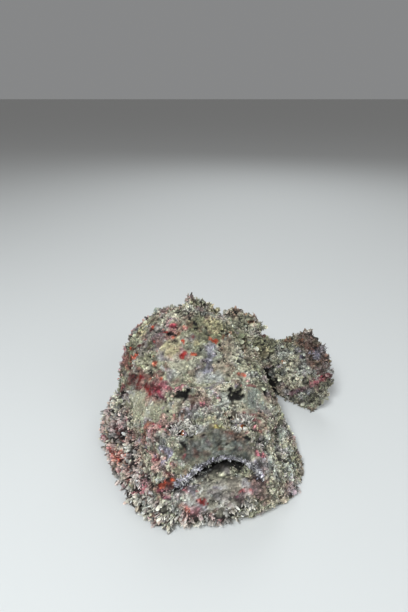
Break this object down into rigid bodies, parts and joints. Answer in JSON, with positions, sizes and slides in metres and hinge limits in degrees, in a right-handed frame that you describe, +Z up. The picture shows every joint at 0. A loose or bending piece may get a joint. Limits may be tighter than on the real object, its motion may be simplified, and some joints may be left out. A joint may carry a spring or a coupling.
{
  "type": "stonefish",
  "caption": "Life-size reef stonefish at rest on the sea floor, its tail curled to its left and its broad pectoral fins spread, for use as a still animal model.",
  "frame": {"origin": "on the floor under the shoulders, on the flat of the belly", "axes": "+Z up, the head faces -Y turned 7 degrees towards +X, and the tail curls round towards +X, the fish's own left"},
  "size_m": [0.2077, 0.229, 0.1037],
  "materials": {
    "skin": "rough wet warty skin, cream and grey with pink and red-orange patches",
    "lip": "pale fringed skin",
    "fin": "thick skin over rays, cream with red-orange patches",
    "eye": "glossy dark eye"
  },
  "bodies": {
    "root": {"head": "skin", "lower_jaw": "skin", "gill_cover_left": "skin", "gill_cover_right": "skin", "trunk_front": "skin", "trunk_middle": "skin", "trunk_rear": "skin", "tail_stalk": "skin", "upper_lip": "lip", "lower_lip": "lip", "pectoral_fin_left": "fin", "pectoral_fin_right": "fin", "pelvic_fin_left": "fin", "pelvic_fin_right": "fin", "dorsal_spines": "fin", "dorsal_soft_fin": "fin", "anal_fin": "fin", "tail_fin": "fin", "eye_left": "eye", "eye_right": "eye"}
  },
  "joints": []
}
